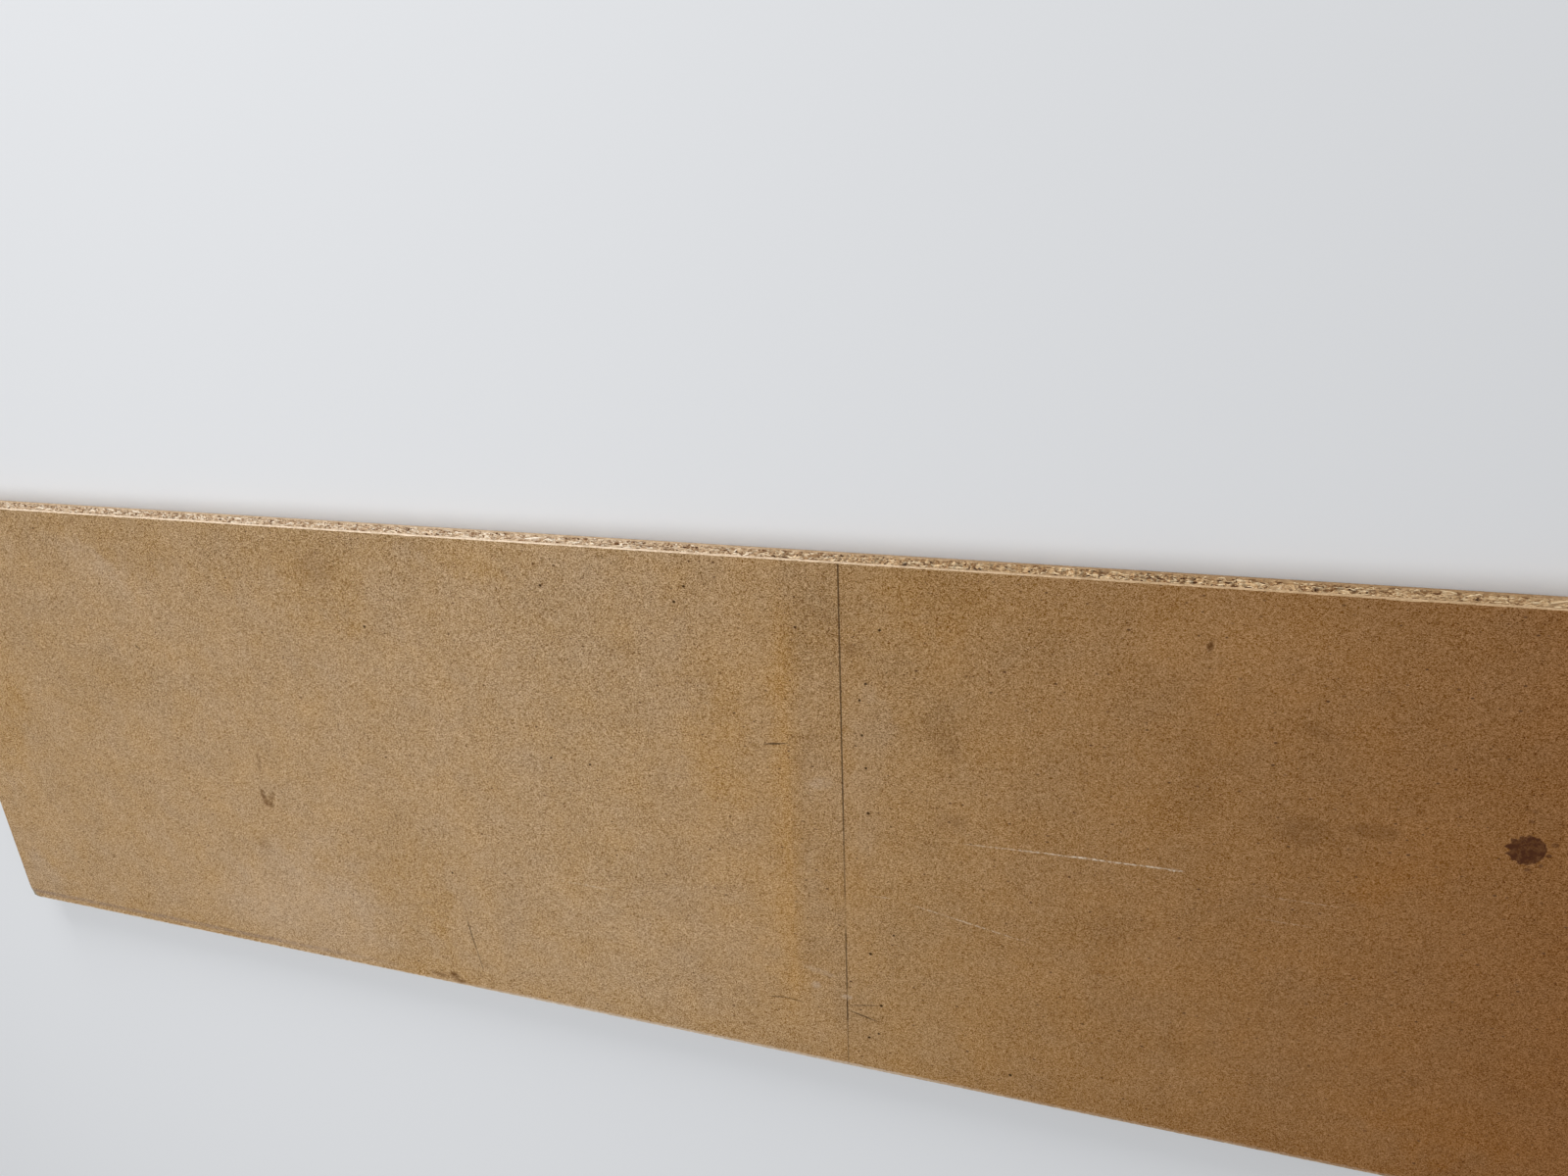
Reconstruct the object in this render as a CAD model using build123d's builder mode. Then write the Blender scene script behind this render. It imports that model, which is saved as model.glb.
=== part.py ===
from build123d import *
import os

# A sheet of raw particle board: one sawn and sanded piece, lying flat with the
# photographed face up. Millimetres. +X runs along the length, +Y towards the long edge
# that is uppermost in the photograph and +Z out of that face. The origin is the middle
# of the underside.

# The sheet as it is sold
BOARD_LENGTH = 2440.0
BOARD_WIDTH = 610.0
BOARD_THICKNESS = 32.0

# Sawing and sanding leave every arris slightly blunt
ARRIS_BREAK = 0.6

# One corner of the upper face flaked off where the sheet stood on it. The break is one
# shallow facet, measured from where the sharp corner would be.
CHIP_ALONG_LENGTH = 11.0
CHIP_ALONG_WIDTH = 21.0
CHIP_INTO_THICKNESS = 1.6

os.makedirs("parts", exist_ok=True)


def chip_plane():
    """The plane of the broken corner, facing away from the board."""
    corner = Vector(-BOARD_LENGTH / 2, -BOARD_WIDTH / 2, BOARD_THICKNESS)
    on_long_arris = corner + Vector(CHIP_ALONG_LENGTH, 0, 0)
    on_short_arris = corner + Vector(0, CHIP_ALONG_WIDTH, 0)
    on_corner_edge = corner - Vector(0, 0, CHIP_INTO_THICKNESS)
    outwards = (on_short_arris - on_long_arris).cross(on_corner_edge - on_long_arris)
    if outwards.dot(corner - on_long_arris) < 0:
        outwards = -outwards
    return Plane(origin=on_long_arris, z_dir=outwards)


with BuildPart() as particle_board:
    with BuildSketch(Plane.XY):
        Rectangle(BOARD_LENGTH, BOARD_WIDTH)
    extrude(amount=BOARD_THICKNESS)
    chamfer(particle_board.edges(), ARRIS_BREAK)
    split(bisect_by=chip_plane(), keep=Keep.BOTTOM)

particle_board.part.label = "particle_board"
export_step(particle_board.part, "parts/particle_board.step")
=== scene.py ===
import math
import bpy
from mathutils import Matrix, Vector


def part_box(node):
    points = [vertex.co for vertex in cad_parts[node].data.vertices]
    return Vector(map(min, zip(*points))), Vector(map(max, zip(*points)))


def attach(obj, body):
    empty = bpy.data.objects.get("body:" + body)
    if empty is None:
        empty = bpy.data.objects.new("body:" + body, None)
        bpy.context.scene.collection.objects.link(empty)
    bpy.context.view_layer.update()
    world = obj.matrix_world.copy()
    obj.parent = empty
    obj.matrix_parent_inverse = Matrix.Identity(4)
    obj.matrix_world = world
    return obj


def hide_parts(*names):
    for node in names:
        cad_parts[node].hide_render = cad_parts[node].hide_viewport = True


bl_info = {
    "name": "Particle Board",
    "version": (1, 0, 0),
    "blender": (4, 5, 0),
    "location": "3D Viewport > Sidebar > Particle Board",
    "description": "Dresses a sheet of raw particle board: sanded face, sawn edges, flakes and marks",
    "category": "Object",
}

import bpy
import numpy as np
from mathutils import Euler, Matrix, Vector, noise
from mathutils.geometry import delaunay_2d_cdt

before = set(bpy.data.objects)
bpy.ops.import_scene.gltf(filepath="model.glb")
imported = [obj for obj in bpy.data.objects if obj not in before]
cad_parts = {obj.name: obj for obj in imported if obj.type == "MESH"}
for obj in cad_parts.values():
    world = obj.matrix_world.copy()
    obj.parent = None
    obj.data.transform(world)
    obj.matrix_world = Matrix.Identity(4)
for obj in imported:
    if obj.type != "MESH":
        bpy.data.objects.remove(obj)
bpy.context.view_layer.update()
BOARD_LOW, BOARD_HIGH = (Vector(corner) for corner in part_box("particle_board"))

MM = 0.001
LENGTH, WIDTH, THICKNESS = BOARD_HIGH - BOARD_LOW
HALF_LENGTH = LENGTH / 2
HALF_WIDTH = WIDTH / 2

# The broken corner of the upper face, as the solid has it
CHIP_ALONG_LENGTH = 11 * MM
CHIP_ALONG_WIDTH = 21 * MM
CHIP_INTO_THICKNESS = 1.6 * MM

# The part's vertical corner edges are broken by this much
CORNER_BREAK = 0.6 * MM


def paint(red, green, blue):
    """A colour given as it shows on a screen, 0 to 255, in the linear values that Blender keeps."""
    return tuple(
        level / 12.92 if level <= 0.04045 else ((level + 0.055) / 1.055) ** 2.4
        for level in (red / 255, green / 255, blue / 255)
    )


def ease(value, start, end):
    """0 before start, 1 after end and a smooth rise between them."""
    share = min(max((value - start) / (end - start), 0.0), 1.0)
    return share * share * (3 - 2 * share)


class SheetSizes(bpy.types.PropertyGroup):
    """Sizes of the pressed layers and of the relief that the saw leaves."""

    fine_layer: bpy.props.FloatProperty(
        name="Fine layer", description="Thickness of the fine layer under each face",
        default=5.0 * MM, min=0.0, unit="LENGTH")
    column_step: bpy.props.FloatProperty(
        name="Column step", description="Spacing of the mesh along the sawn edges",
        default=2.0 * MM, min=0.5 * MM, unit="LENGTH")
    row_step: bpy.props.FloatProperty(
        name="Row step", description="Spacing of the mesh across the coarse core",
        default=1.85 * MM, min=0.5 * MM, unit="LENGTH")
    core_recess: bpy.props.FloatProperty(
        name="Core recess", description="Mean depth of the open core behind the saw cut",
        default=1.30 * MM, min=0.0, unit="LENGTH")
    core_roughness: bpy.props.FloatProperty(
        name="Core roughness", description="How far the core's surface wanders from that",
        default=0.40 * MM, min=0.0, unit="LENGTH")
    pit_depth: bpy.props.FloatProperty(
        name="Pit depth", description="Depth of the gaps between flakes",
        default=2.0 * MM, min=0.0, unit="LENGTH")
    pit_share: bpy.props.FloatProperty(
        name="Pit share", description="Share of the core's cells that are open gaps",
        default=0.26, min=0.0, max=1.0)
    arris: bpy.props.FloatProperty(
        name="Arris", description="Width of the blunt arrises",
        default=0.6 * MM, min=0.0, unit="LENGTH")
    worn_arris: bpy.props.FloatProperty(
        name="Worn arris", description="Most that the arris it stood on has crumbled",
        default=2.4 * MM, min=0.0, unit="LENGTH")


class FlakeSizes(bpy.types.PropertyGroup):
    """Sizes and number of the wood flakes that show in the sawn core."""

    density: bpy.props.FloatProperty(
        name="Density", description="Flakes on each square metre of core",
        default=165000.0, min=0.0)
    shortest: bpy.props.FloatProperty(
        name="Shortest", description="Length of the shortest flakes",
        default=1.6 * MM, min=0.0, unit="LENGTH")
    longest: bpy.props.FloatProperty(
        name="Longest", description="Length of the longest flakes",
        default=8.5 * MM, min=0.0, unit="LENGTH")
    slimmest: bpy.props.FloatProperty(
        name="Slimmest", description="Thickness of the slimmest flakes",
        default=0.50 * MM, min=0.0, unit="LENGTH")
    stoutest: bpy.props.FloatProperty(
        name="Stoutest", description="Thickness of the stoutest flakes",
        default=2.6 * MM, min=0.0, unit="LENGTH")
    root: bpy.props.FloatProperty(
        name="Root", description="How deep a flake goes into the board",
        default=4.2 * MM, min=0.0, unit="LENGTH")
    set_back: bpy.props.FloatProperty(
        name="Set back", description="Most that a flake's end lies behind the saw cut",
        default=1.20 * MM, min=0.0, unit="LENGTH")
    chip: bpy.props.FloatProperty(
        name="Chip", description="How much longer the few large chips are",
        default=12.0 * MM, min=0.0, unit="LENGTH")
    tilt: bpy.props.FloatProperty(
        name="Tilt", description="How far the flakes lean from the plane of the sheet",
        default=0.55, min=0.0, subtype="ANGLE")
    swing: bpy.props.FloatProperty(
        name="Swing", description="How far the flakes turn from the saw cut, in the plane of the sheet",
        default=0.65, min=0.0, subtype="ANGLE")
    seed: bpy.props.IntProperty(
        name="Seed", description="Changes where the flakes lie", default=7)


class BoardColours(bpy.types.PropertyGroup):
    """Colours of the sanded faces, the sawn edges and the marks."""

    face_pale: bpy.props.FloatVectorProperty(
        name="Pale face", description="The face towards the left end",
        subtype="COLOR", default=paint(166, 137, 101))
    face_middle: bpy.props.FloatVectorProperty(
        name="Middle face", description="The face just past its middle",
        subtype="COLOR", default=paint(153, 120, 80))
    # The toned and brown face colours are partly painted shade of light falling off to the right
    face_toned: bpy.props.FloatVectorProperty(
        name="Toned face", description="The face towards the right end",
        subtype="COLOR", default=paint(140, 103, 63))
    face_brown: bpy.props.FloatVectorProperty(
        name="Brown face", description="The face at the right end",
        subtype="COLOR", default=paint(123, 79, 39))
    fine_layer: bpy.props.FloatVectorProperty(
        name="Fine layer", description="The sawn fine layers under both faces",
        subtype="COLOR", default=paint(219, 198, 173))
    core: bpy.props.FloatVectorProperty(
        name="Core", description="The dust and small stuff between the flakes",
        subtype="COLOR", default=paint(176, 147, 116))
    gap: bpy.props.FloatVectorProperty(
        name="Gap", description="The shaded gaps in the core",
        subtype="COLOR", default=paint(96, 66, 42))
    bark: bpy.props.FloatVectorProperty(
        name="Bark", description="Bark specks and the darkest flakes",
        subtype="COLOR", default=paint(88, 58, 34))
    pencil: bpy.props.FloatVectorProperty(
        name="Pencil", description="Graphite marks", subtype="COLOR", default=paint(60, 37, 12))
    scratch: bpy.props.FloatVectorProperty(
        name="Scratch", description="Pale scratches", subtype="COLOR", default=paint(212, 198, 178))
    stain: bpy.props.FloatVectorProperty(
        name="Stain", description="The dark dried splash", subtype="COLOR", default=paint(68, 34, 13))
    dirt: bpy.props.FloatVectorProperty(
        name="Dirt", description="Hand and floor dirt", subtype="COLOR", default=paint(92, 58, 24))
    rub: bpy.props.FloatVectorProperty(
        name="Rub", description="Places rubbed pale", subtype="COLOR", default=paint(184, 165, 145))
    scuff: bpy.props.FloatVectorProperty(
        name="Scuff", description="The grey scuff along the lower arris",
        subtype="COLOR", default=paint(122, 104, 96))
    # The broken corner's facet, painted grey as shade
    grime: bpy.props.FloatVectorProperty(
        name="Corner shade", description="The broken corner", subtype="COLOR", default=paint(127, 117, 95))


class StageSettings(bpy.types.PropertyGroup):
    """Floor, lamps and camera."""

    floor: bpy.props.FloatVectorProperty(
        name="Floor", description="The floor's colour", subtype="COLOR", default=paint(214, 216, 219))
    sky: bpy.props.FloatProperty(
        name="Sky", description="Strength of the even light from all round", default=0.50, min=0.0)
    key: bpy.props.FloatProperty(
        name="Key", description="Power of the large lamp overhead",
        default=66.0, min=0.0, unit="POWER")
    edge_light: bpy.props.FloatProperty(
        name="Edge light", description="Power of the low lamp beyond the upper edge",
        default=108.0, min=0.0, unit="POWER")
    camera_place: bpy.props.FloatVectorProperty(
        name="Camera place", description="Where the camera stands",
        subtype="TRANSLATION", unit="LENGTH", default=(0.2654, 0.6303, 0.9183))
    camera_turn: bpy.props.FloatVectorProperty(
        name="Camera turn", description="The camera's angles",
        subtype="EULER", default=tuple(math.radians(a) for a in (-21.531, 17.116, -2.356)))
    camera_lens: bpy.props.FloatProperty(
        name="Camera lens", description="Focal length on a 36 mm sensor, in millimetres",
        default=23.81, min=1.0)


GROUPS = {
    "board_sheet": SheetSizes,
    "board_flakes": FlakeSizes,
    "board_colours": BoardColours,
    "board_stage": StageSettings,
}


class Number:
    """A node's output that takes Python's operators, so that node maths reads as plain maths."""

    def __init__(self, nodes, socket):
        self.nodes = nodes
        self.socket = socket

    def __add__(self, other):
        return self.nodes.math("ADD", self, other)

    def __radd__(self, other):
        return self.nodes.math("ADD", other, self)

    def __sub__(self, other):
        return self.nodes.math("SUBTRACT", self, other)

    def __rsub__(self, other):
        return self.nodes.math("SUBTRACT", other, self)

    def __mul__(self, other):
        return self.nodes.math("MULTIPLY", self, other)

    def __rmul__(self, other):
        return self.nodes.math("MULTIPLY", other, self)

    def __truediv__(self, other):
        return self.nodes.math("DIVIDE", self, other)

    def __rtruediv__(self, other):
        return self.nodes.math("DIVIDE", other, self)

    def __pow__(self, other):
        return self.nodes.math("POWER", self, other)

    def __rpow__(self, other):
        return self.nodes.math("POWER", other, self)

    def __abs__(self):
        return self.nodes.math("ABSOLUTE", self)


class Nodes:
    """A node tree. One method adds any node, and the others are short ways to call it."""

    def __init__(self, tree):
        self.tree = tree

    def add(self, kind, settings=None, sockets=None, output=0, stops=None):
        """Adds a node: its settings come first, then a ramp's stops, then values or links."""
        node = self.tree.nodes.new(kind)
        for name, value in (settings or {}).items():
            setattr(node, name, value)
        if stops:
            ramp = node.color_ramp
            while len(ramp.elements) < len(stops):
                ramp.elements.new(0.5)
            for element, (position, colour) in zip(ramp.elements, stops):
                element.position = position
                element.color = (*colour, 1.0)
        for key, value in (sockets or {}).items():
            self.feed(node.inputs[key], value)
        return Number(self, node.outputs[output]) if node.outputs else None

    def feed(self, socket, value):
        """Links a socket to a Number, or sets it to a plain value."""
        if isinstance(value, Number):
            self.tree.links.new(value.socket, socket)
        elif socket.type == "RGBA" and len(value) == 3:
            socket.default_value = (*value, 1.0)
        else:
            socket.default_value = value

    def math(self, operation, *values):
        return self.add("ShaderNodeMath", {"operation": operation}, dict(enumerate(values)))

    def vector(self, operation, *values):
        return self.add("ShaderNodeVectorMath", {"operation": operation}, dict(enumerate(values)))

    def parts(self, vector):
        """A vector's three numbers."""
        node = self.add("ShaderNodeSeparateXYZ", None, {0: vector})
        return [Number(self, node.socket.node.outputs[axis]) for axis in range(3)]

    def join(self, *numbers):
        """One vector of up to three numbers."""
        return self.add("ShaderNodeCombineXYZ", None, dict(enumerate(numbers)))


class Shader(Nodes):
    """A material's node tree."""

    def __init__(self, name):
        self.material = bpy.data.materials.new(name)
        self.material.use_nodes = True
        super().__init__(self.material.node_tree)
        self.tree.nodes.clear()

    def dot(self, first, second):
        settings = {"operation": "DOT_PRODUCT"}
        return self.add("ShaderNodeVectorMath", settings, {0: first, 1: second}, output="Value")

    def mix(self, share, under, over):
        """Colour over lies on colour under by a share of 0 to 1."""
        return self.add("ShaderNodeMix", {"data_type": "RGBA"}, {0: share, 6: under, 7: over}, output=2)

    def rise(self, value, start, end, low=0.0, high=1.0):
        """low before start, high after end and a smooth rise between them."""
        settings = {"interpolation_type": "SMOOTHSTEP"}
        sockets = {0: value, 1: start, 2: end, 3: low, 4: high}
        return self.add("ShaderNodeMapRange", settings, sockets)

    def ramp(self, value, stops):
        return self.add("ShaderNodeValToRGB", None, {0: value}, stops=stops)

    def place(self):
        """The point in the board's own frame, in metres."""
        return self.add("ShaderNodeTexCoord", output="Object")

    def triple(self, number):
        """The same number three times, as a vector."""
        return self.join(number, number, number)

    def cloud(self, place, scale, detail=2.0, roughness=0.5, output="Fac"):
        """Soft flat noise around 0.5, with so many waves to a millimetre."""
        sockets = {"Vector": place, "Scale": scale, "Detail": detail, "Roughness": roughness}
        return self.add("ShaderNodeTexNoise", {"noise_dimensions": "2D"}, sockets, output=output)

    def grains(self, place, per_mm):
        """Flat cells, so many to a millimetre: each one's random numbers, and how far its middle is."""
        settings = {"feature": "F1", "voronoi_dimensions": "2D"}
        scaled = self.vector("MULTIPLY", place, (*per_mm, 0.0))
        far = self.add("ShaderNodeTexVoronoi", settings, {"Vector": scaled, "Scale": 1.0})
        return self.parts(Number(self, far.socket.node.outputs["Color"])), far

    def shaken(self, place, noise_colour, most):
        """A point in millimetres that a noise's colour moves by up to so much each way."""
        moved = self.vector("MULTIPLY_ADD", noise_colour, (2 * most, 2 * most, 0.0), place)
        return self.vector("SUBTRACT", moved, (most, most, 0.0))

    def finish(self, colour, roughness, bump_height, bump_distance, bump_strength, shine=0.2):
        """Ends the tree in a dull surface whose colour, roughness and bump are given."""
        normal = self.add("ShaderNodeBump", None, {
            "Strength": bump_strength, "Distance": bump_distance, "Height": bump_height})
        return self.coat({
            "Base Color": colour, "Roughness": roughness, "Specular IOR Level": shine, "Normal": normal})

    def coat(self, sockets):
        """Ends the tree in a surface with these sockets, and gives the material."""
        surface = self.add("ShaderNodeBsdfPrincipled", None, sockets)
        self.add("ShaderNodeOutputMaterial", None, {"Surface": surface})
        return self.material


def oval(shader, point, middle, radii, turn, share=1.0, firm=0.0):
    """A soft oval mark's share at a point (x, y, 1) in millimetres. It is 0 past the rim."""
    cos, sin = math.cos(math.radians(turn)), math.sin(math.radians(turn))
    along, across = radii
    right, up = middle
    first = shader.dot(point, (cos / along, sin / along, -(cos * right + sin * up) / along))
    second = shader.dot(point, (-sin / across, cos / across, (sin * right - cos * up) / across))
    far = shader.math("MULTIPLY_ADD", second, second, first * first)
    return shader.rise(far, firm, 1.0, share, 0.0)


def strokes(*lines):
    """Straight strokes, given by their ends, width and share, as slightly longer ovals."""
    marks = []
    for start, end, width, share in lines:
        run = Vector(end) - Vector(start)
        middle = (Vector(end) + Vector(start)) / 2
        turn = math.degrees(math.atan2(run.y, run.x))
        marks.append((tuple(middle), (run.length * 0.58, width / 2), turn, share))
    return marks


def gather(shader, point, marks, firm=0.0):
    """The strongest of several oval marks at a point."""
    total = 0.0
    for middle, radii, turn, share in marks:
        total = shader.math("MAXIMUM", total, oval(shader, point, middle, radii, turn, share, firm))
    return total


# What shows on the upper face and the upper edge, in millimetres from the board's middle

PENCIL_LINE_X = 31.4
PENCIL_SHADES = [
    # distance down the face from its upper arris as a share of the width, and how dark
    (0.00, 0.86), (0.44, 0.84), (0.50, 0.60), (0.61, 0.52), (0.64, 0.16), (0.68, 0.20),
    (0.70, 0.70), (0.81, 0.78), (0.835, 0.34), (0.85, 0.96), (0.885, 0.94), (0.90, 0.46),
    (0.97, 0.50), (1.00, 0.30),
]
PENCIL_TICKS = strokes(
    # both ends, width and how dark
    ((32, -218.6), (68, -210.4), 1.9, 0.72),
    ((32, -225), (67, -234), 2.4, 0.85),
    ((-50, 102.4), (-30, 105), 2.8, 0.90),
    ((-55, 101.5), (-24, 106), 2.4, 0.80),
    ((-27, 106), (-17, 118), 2, 0.32),
    ((-60, -226.5), (-38, -223.5), 2.2, 0.72),
    ((-44, -223.5), (-19, -226), 2.2, 0.66),
    ((-455, -196), (-449, -242), 2.6, 0.74),
    ((-450, -230), (-443, -278), 2.2, 0.60),
    ((-877, 137.5), (-867, 129), 3, 0.60),
)
SCRATCHES = strokes(
    # both ends, width and how pale
    ((195, 16.6), (352, 18.4), 2.2, 0.75),
    ((250, 17.6), (300, 18.2), 2.5, 0.95),
    ((300, 18), (352, 18.6), 2.2, 0.80),
    ((346, 18.4), (361, 18.4), 4, 1),
    ((150, 14.6), (252, 17.4), 2.2, 0.40),
    ((92, -67), (226, -93.5), 2, 0.50),
    ((-330, -113.8), (-232, -115.5), 2, 0.45),
    ((418, 4), (502, 3), 1.8, 0.20),
    ((424, -22), (482, -23), 1.8, 0.20),
    ((58, -66.5), (82, -65), 1.8, 0.35),
    ((-1168, -95), (-1152, -117), 5, 0.28),
)
DIRT = [
    # middle, radii, turn in degrees and how dark
    ((-729.5, -61), (15, 6.5), -76, 0.75),
    ((-725.5, -70), (12, 7.5), -35, 0.95),
    ((-718, -60), (15, 5.5), 62, 0.50),
    ((-724, -10), (20, 4.5), 82, 0.46),
    ((-748, -134), (14, 13), 0, 0.30),
    ((-576, 256), (40, 26), 10, 0.26),
    ((457, 77), (30, 20), 0, 0.36),
    ((512, 87), (28, 11), 0, 0.44),
    ((458, 178), (24, 8), -30, 0.26),
    ((142, 37), (24, 15), 10, 0.22),
    ((132, 128), (36, 13), -50, 0.16),
    ((362, 251), (8, 3.2), 82, 1),
    ((44, 219), (16, 9), 30, 0.28),
    ((-4, 112), (16, 12), 0, 0.16),
    ((-12, 86), (14, 9), -60, 0.20),
    ((-489, -293), (10, 8), -40, 1),
    ((-482, -299), (14, 5), 0, 0.70),
    ((-512, -295), (17, 5), -6, 0.60),
    ((585, -180), (12, 6), 0, 0.28),
    ((-1027, -202), (8, 4.5), 0, 0.40),
]
PALE_RUBS = [
    # middle, radii, turn in degrees and how pale
    ((8, 64), (17, 10), 15, 0.28),
    ((-4, -198), (7, 7), 0, 0.38),
    ((0, -178), (24, 5), -12, 0.30),
    ((31, -207), (8, 3.5), 0, 0.70),
    ((60, 172), (12, 14), 0, 0.10),
    ((56, 6), (15, 30), 0, 0.10),
]
BARK_SPECKS = [
    # middle and radius
    ((57, 182), 1.9), ((50.5, 163.5), 1.8), ((52.5, 125), 1.6), ((56, 88), 1.8),
    ((57.8, 35.5), 2.1), ((58.6, -142), 2.2), ((71, 240), 1.8), ((70, -210.5), 2.2),
    ((-13, 236), 1.7),
    ((-139, 252.5), 2), ((84, -112.5), 1.6), ((56, -258.5), 2.1), ((67, -250.5), 1.6),
    ((-120, -38), 1.5), ((-127, 270), 1.7), ((-256, 50), 1.8), ((-304, 52), 1.8),
    ((-522, 192), 2), ((-464, -130), 2), ((-289, 259), 2), ((212, -272), 2.2),
]
SPLASH_MIDDLE = (628, 87)
SPLASH_RADIUS = 13.4
SPLASH_POINTS = 13
SPLASH_DROPS = [
    # middle, radii, turn in degrees and how dark
    ((646.5, 95), (3.4, 2.8), 0, 0.60),
    ((644, 84), (2.6, 2.2), 0, 0.80),
    ((640, 73.5), (2.2, 2.2), 0, 0.55),
    ((631, 68), (3, 2.2), 0, 0.60),
    ((626, 115), (2.8, 2.2), 0, 0.50),
    ((626.5, 125), (2.4, 2.4), 0, 0.30),
]
EDGE_CHIPS = [
    # on the upper edge, in x and height: middle, radii, turn in degrees and how pale
    ((12, 16), (2.2, 12), 0, 0.80),
    ((55, 16), (2.2, 12), 0, 0.65),
    ((84, 17), (2.8, 11), 0, 0.50),
    ((178, 16), (2.4, 11), 5, 0.45),
    ((506, 15), (2.4, 12), 0, 0.85),
    ((410, 16), (17, 4.6), -3, 0.50),
    ((533, 13), (13, 4), -39, 0.75),
    ((614, 14), (10, 6), -45, 0.60),
    ((-738, 14), (6, 4.5), 0, 0.50),
    ((-671, 15), (6, 7), 0, 0.40),
]
EDGE_SPECKS = [
    # the same, and how dark
    ((-880, 15), (3.4, 3.4), 0, 0.55),
    ((-824, 12.5), (2.4, 3), 0, 0.40),
    ((-782, 20.5), (2.6, 3), 0, 0.45),
    ((32, 24.5), (3.6, 3), 0, 0.90),
    ((18, 13), (8, 2.4), 0, 0.55),
    ((92, 21), (5, 2.6), -20, 0.75),
    ((112, 17), (3.4, 3), 0, 0.70),
    ((160, 21.5), (4.2, 3), -20, 0.80),
    ((188, 16.5), (3.4, 3), 0, 0.45),
    ((219, 15), (4, 3.4), 0, 0.50),
    ((399, 11), (3.2, 3.4), 0, 0.95),
    ((440, 18), (3.2, 4.6), 0, 0.75),
    ((459, 12), (3.6, 4.6), 0, 0.45),
    ((557, 18.5), (1.5, 7), 14, 0.85),
]
DRIFTING_AREAS = [
    # middle, radii, turn in degrees, how much paler (below 0 darker) and yellower (below 0 greyer)
    ((-905, 232), (115, 34), -32, 0.65, -0.8),
    ((-1145, 20), (155, 42), 71, -0.3, 0.9),
    ((-800, 305), (480, 85), 0, -0.6, 0.5),
    ((-580, 243), (75, 65), 0, -0.5, 0.8),
    ((-930, 85), (120, 80), 0, -0.5, 0.2),
    ((-700, -235), (180, 130), 0, 0.8, -1),
    ((-545, -190), (190, 75), 88, -0.5, 0.5),
    ((-493, -185), (130, 16), 90, -0.3, 0.7),
    ((-165, -180), (150, 130), 0, 0.1, -0.3),
    ((-158, 190), (150, 36), 90, 0.2, -0.4),
    ((-100, 100), (140, 36), 86, -0.2, 0.8),
    ((15, 235), (70, 55), 0, -0.6, 0.2),
    ((58, 105), (120, 26), 90, 0.45, -1),
    ((15, 60), (40, 45), 0, 0.1, -0.5),
    ((120, 278), (75, 42), 0, -0.5, 0.8),
    ((132, 130), (42, 18), -40, -1, 0.3),
    ((362, 105), (80, 24), 88, -0.9, 0.7),
    ((280, -75), (85, 34), 28, -0.6, 0.5),
    ((385, -192), (36, 30), 0, -0.8, 0.3),
    ((400, -285), (90, 28), 0, -0.6, 0.4),
    ((400, 256), (120, 60), 0, 0.9, -0.2),
    ((588, 250), (60, 75), 0, 0.1, -0.7),
    ((615, -235), (100, 45), 0, -0.1, 1.1),
    ((540, 60), (80, 50), 30, 0, 0.7),
    ((450, 80), (60, 24), 0, -0.5, 0.2),
    ((18, 65), (60, 20), 90, 0.5, 0),
    ((14, 165), (50, 20), 90, 0.35, 0),
    ((12, -55), (65, 18), 90, 0, 0.5),
    ((-50, -155), (48, 20), 90, 0.5, 0.1),
    ((230, -200), (120, 90), 20, -0.2, 0.5),
    ((-370, 288), (110, 26), 0, -0.2, 0.6),
    ((-1070, -20), (190, 330), 0, -0.3, 0.2),
    ((-1190, -270), (75, 60), 0, -0.2, -0.9),
    ((-250, -10), (110, 330), 0, -0.25, 0.2),
    ((-40, 0), (130, 400), 0, 0.5, 0.2),
    ((-10, -190), (34, 34), 0, 0.5, 0),
]


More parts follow.
